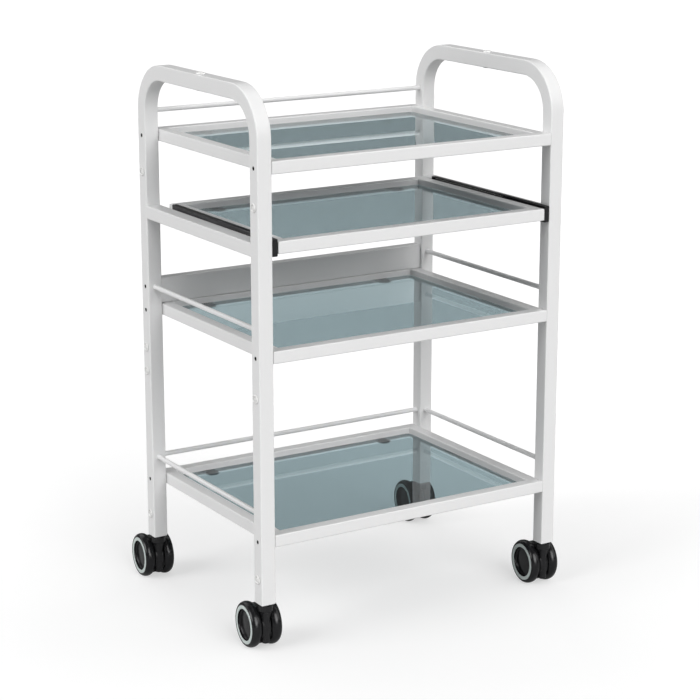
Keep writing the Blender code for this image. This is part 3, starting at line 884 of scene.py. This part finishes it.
def trim_profile():
    """A flat ring with rounded edges that lies in its seat on the wheel's face."""
    top, low, edge = WHEEL_HALF - 0.0001, WHEEL_HALF - 0.0009, TRIM_EDGE
    inner, outer = TRIM_INNER + 0.0001, TRIM_OUTER
    return [(inner, low), (inner, top - edge), (inner + edge, top), (outer - edge, top),
            (outer, top - edge), (outer, low)]


def build_wheel(corner, side_name, place, trail):
    """The wheel, tyre and hub in one, with its trim ring on its outer face."""
    side = SIDES[side_name]
    body = f"{corner}_wheel_{side_name}"
    hub = place @ Vector((side * wheel_middle(corner, side_name), trail, WHEEL))
    spot = facing(hub, place.to_3x3() @ (side * X_AXIS))
    bm = bmesh.new()
    lathe(bm, wheel_profile(), spot)
    add_piece(f"{body}_tyre", bm, TYRE_BLACK, body, (body,), smooth=32)
    bm = bmesh.new()
    lathe(bm, trim_profile(), spot, closed=True)
    add_piece(f"{body}_trim_ring", bm, TRIM, body)


def spine_profile():
    """The plate between the wheels, turned about the axle, with round edges."""
    rim = [(SPINE_RADIUS - SPINE_EDGE * (1 - math.sin(a)),
            SPINE_HALF - SPINE_EDGE * (1 - math.cos(a))) for a in quarter_turn(6)]
    return [(0, SPINE_HALF)] + rim + [(r, -h) for r, h in reversed(rim)] + [(0, -SPINE_HALF)]


def column_profile(top):
    """Turned about the stem: a neck under the leg that narrows to a column with a round toe."""
    neck = [(0, top), (NECK_RADIUS - NECK_EDGE, top), (NECK_RADIUS, top - NECK_EDGE)]
    flare = [(COLUMN + (NECK_RADIUS - COLUMN) * (1 - math.cos(a)),
              WAIST + (SHOULDER - WAIST) * math.sin(a)) for a in reversed(quarter_turn(6))]
    toe = [(COLUMN - COLUMN_TOE * (1 - math.cos(a)), COLUMN_FOOT - COLUMN_TOE * math.sin(a))
           for a in quarter_turn(6)]
    return neck + flare + toe + [(0, COLUMN_FOOT - COLUMN_TOE)]


def build_housing(corner, place, trail):
    """The plate and the column joined, with room cut out for the two wheels."""
    node = f"{corner}_caster_housing"
    axle = place @ Vector((0, trail, WHEEL))
    across = place.to_3x3() @ X_AXIS
    bm = bmesh.new()
    lathe(bm, spine_profile(), facing(axle, across), 96)
    piece = add_piece(f"{node}_moulded", bm, HOUSING_BLACK, f"{corner}_caster", (node,))
    bm = bmesh.new()
    lathe(bm, column_profile(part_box(node)[1].z), place, 72)
    combine(piece, bm, 'UNION')
    bm = bmesh.new()
    room = SPINE_HALF + ROOM_GAP
    for side in SIDES.values():
        lathe(bm, [(0, room), (WHEEL_ROOM, room), (WHEEL_ROOM, ROOM_REACH), (0, ROOM_REACH)],
              facing(axle, side * across), 128)
    combine(piece, bm)
    shade_anew(piece)


def build_stem(corner):
    """The plated stem with its collar, between the leg and the housing."""
    node = f"{corner}_caster_stem"
    low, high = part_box(node)
    middle = (low + high) / 2
    radius, collar, edge = STEM_RADIUS, COLLAR_RADIUS, STEM_EDGE
    collar_top = LEG_FOOT - COLLAR_GAP
    collar_low = collar_top - COLLAR_HEIGHT
    profile = [(0, high.z), (radius - edge, high.z), (radius, high.z - edge), (radius, collar_top),
               (collar - edge, collar_top), (collar, collar_top - edge),
               (collar, collar_low + edge), (collar - edge, collar_low), (radius, collar_low),
               (radius, low.z + edge), (radius - edge, low.z), (0, low.z)]
    bm = bmesh.new()
    lathe(bm, profile, Matrix.Translation((middle.x, middle.y, 0)), 48)
    add_piece(f"{node}_turned", bm, ZINC, "frame", (node,))


def build_caster(corner):
    place, trail = caster_place(corner), axle_trail(corner)
    for side_name in SIDES:
        build_wheel(corner, side_name, place, trail)
    build_stem(corner)
    build_housing(corner, place, trail)
    show_as(f"{corner}_leg_insert", HOUSING_BLACK)
    show_as(f"{corner}_caster_axle", ZINC)


# ------------------------------------------------------------------ stage
def unlit_panes():
    """The panes, left out of the suns' light: their mirror images would turn the glass white."""
    group = bpy.data.collections.new("unlit_panes")
    for piece in bpy.context.scene.collection.objects:
        if piece.type == 'MESH' and GLASS.name in piece.data.materials:
            group.objects.link(piece)
    for member in group.collection_objects:
        member.light_linking.link_state = 'EXCLUDE'
    return group


def add_sun(name, towards, strength, panes):
    """A soft sun: towards points from the trolley to the light."""
    light = bpy.data.lights.new(name, 'SUN')
    light.energy = strength
    light.angle = math.radians(SUN_SPREAD)
    lamp = bpy.data.objects.new(name, light)
    bpy.context.scene.collection.objects.link(lamp)
    lamp.rotation_mode = 'QUATERNION'
    lamp.rotation_quaternion = Vector(towards).to_track_quat('Z', 'Y')
    lamp.visible_transmission = False       # the glass's own shadow says what passes it
    lamp.light_linking.receiver_collection = panes


def glow_with_painted_shade(nodes, links):
    """The floor's glow, from weak at the trolley to full away from it; the weak part is painted
    shade around the trolley.
    """
    place = nodes.new("ShaderNodeTexCoord")
    away = nodes.new("ShaderNodeVectorMath")
    away.operation = 'DISTANCE'
    away.inputs[1].default_value = SHADE_CENTRE
    links.new(place.outputs["Object"], away.inputs[0])
    spread = nodes.new("ShaderNodeMapRange")
    spread.interpolation_type = 'SMOOTHSTEP'
    spread.inputs["From Max"].default_value = SHADE_REACH
    spread.inputs["To Min"].default_value = FLOOR_LIFT
    spread.inputs["To Max"].default_value = FLOOR_LIFT_FAR
    links.new(away.outputs["Value"], spread.inputs["Value"])
    return spread.outputs["Result"]


def glow_where_seen(nodes, links, glow):
    """The glow for rays from the camera, through glass too, but none for diffuse light."""
    rays = nodes.new("ShaderNodeLightPath")
    seen = nodes.new("ShaderNodeMath")
    seen.operation = 'MAXIMUM'
    links.new(rays.outputs["Is Camera Ray"], seen.inputs[0])
    links.new(rays.outputs["Is Transmission Ray"], seen.inputs[1])
    level = nodes.new("ShaderNodeMapRange")
    level.inputs["From Max"].default_value = 0.5
    level.inputs["To Max"].default_value = 0.0
    links.new(rays.outputs["Diffuse Depth"], level.inputs["Value"])
    links.new(glow, level.inputs["To Min"])
    direct = nodes.new("ShaderNodeMath")
    direct.operation = 'MULTIPLY'
    links.new(seen.outputs["Value"], direct.inputs[0])
    links.new(level.outputs["Result"], direct.inputs[1])
    return direct.outputs["Value"]


def floor_material():
    """Pale matt floor, lifted towards white away from the trolley, where it is seen; lifted less
    near the trolley as painted shade.
    """
    material = bpy.data.materials.new("pale_floor")
    material.use_nodes = True
    nodes, links = material.node_tree.nodes, material.node_tree.links
    nodes.clear()
    output = nodes.new("ShaderNodeOutputMaterial")
    diffuse = nodes.new("ShaderNodeBsdfDiffuse")
    diffuse.inputs["Color"].default_value = (FLOOR_GREY, FLOOR_GREY, FLOOR_GREY, 1)
    lift = nodes.new("ShaderNodeEmission")
    glow = glow_where_seen(nodes, links, glow_with_painted_shade(nodes, links))
    links.new(glow, lift.inputs["Strength"])
    total = nodes.new("ShaderNodeAddShader")
    links.new(diffuse.outputs["BSDF"], total.inputs[0])
    links.new(lift.outputs["Emission"], total.inputs[1])
    links.new(total.outputs["Shader"], output.inputs["Surface"])
    return material


def build_floor():
    bm = bmesh.new()
    bmesh.ops.create_circle(bm, cap_ends=True, segments=96, radius=FLOOR_RADIUS)
    mesh = bpy.data.meshes.new("studio_floor")
    bm.to_mesh(mesh)
    bm.free()
    mesh.materials.append(floor_material())
    floor = bpy.data.objects.new("studio_floor", mesh)
    bpy.context.scene.collection.objects.link(floor)
    floor.location.z = cad_box[0].z - FLOOR_SINK


def build_world():
    """White behind everything for the camera, dim for the light and the reflections."""
    world = bpy.data.worlds.new("studio")
    bpy.context.scene.world = world
    world.use_nodes = True
    nodes, links = world.node_tree.nodes, world.node_tree.links
    rays = nodes.new("ShaderNodeLightPath")
    level = nodes.new("ShaderNodeMapRange")
    level.inputs["To Min"].default_value = ROOM_LIGHT
    level.inputs["To Max"].default_value = 1.0
    links.new(rays.outputs["Is Camera Ray"], level.inputs["Value"])
    links.new(level.outputs["Result"], nodes["Background"].inputs["Strength"])
    nodes["Background"].inputs["Color"].default_value = (1, 1, 1, 1)


def build_camera():
    data = bpy.data.cameras.new("photo_camera")
    data.lens = CAMERA_LENS
    data.sensor_width = SENSOR_WIDTH
    camera = bpy.data.objects.new("photo_camera", data)
    bpy.context.scene.collection.objects.link(camera)
    camera.location = CAMERA_PLACE
    camera.rotation_mode = 'QUATERNION'
    camera.rotation_quaternion = (CAMERA_AIM - CAMERA_PLACE).to_track_quat('-Z', 'Y')
    bpy.context.scene.camera = camera


def build_stage():
    bpy.context.scene.view_settings.view_transform = 'Standard'
    build_world()
    build_floor()
    panes = unlit_panes()
    for name, towards, strength in SUNS:
        add_sun(name, towards, strength, panes)
    build_camera()


# ------------------------------------------------------------------ the trolley
for side_name in SIDES:
    build_side_frame(side_name)
    build_leg_screws(side_name)
    build_leg_plugs(side_name)
    build_handle_plugs(side_name)
    build_slide_rail(side_name)
    build_slide(side_name)
for shelf in FIXED_SHELVES:
    build_ring(f"{shelf}_shelf_welded_ring", f"{shelf}_shelf_ring", "frame")
    build_tabs(f"{shelf}_shelf", f"{shelf}_shelf_ring", f"{shelf}_shelf_glass", "frame")
    build_pane(f"{shelf}_shelf_pane", f"{shelf}_shelf_glass", "frame")
build_ring("tray_welded_ring", "tray_ring", "tray")
build_tabs("tray", "tray_ring", "tray_glass", "tray")
build_pane("tray_pane", "tray_glass", "tray")
for level in ("middle", "bottom"):
    for side_name in SIDES:
        build_guard_rod(f"{level}_{side_name}_guard_rod")
for level in ("top", "bottom"):
    build_guard_rod(f"{level}_back_guard_rod")
build_back_panel()
for corner in CORNERS:
    build_caster(corner)
build_stage()
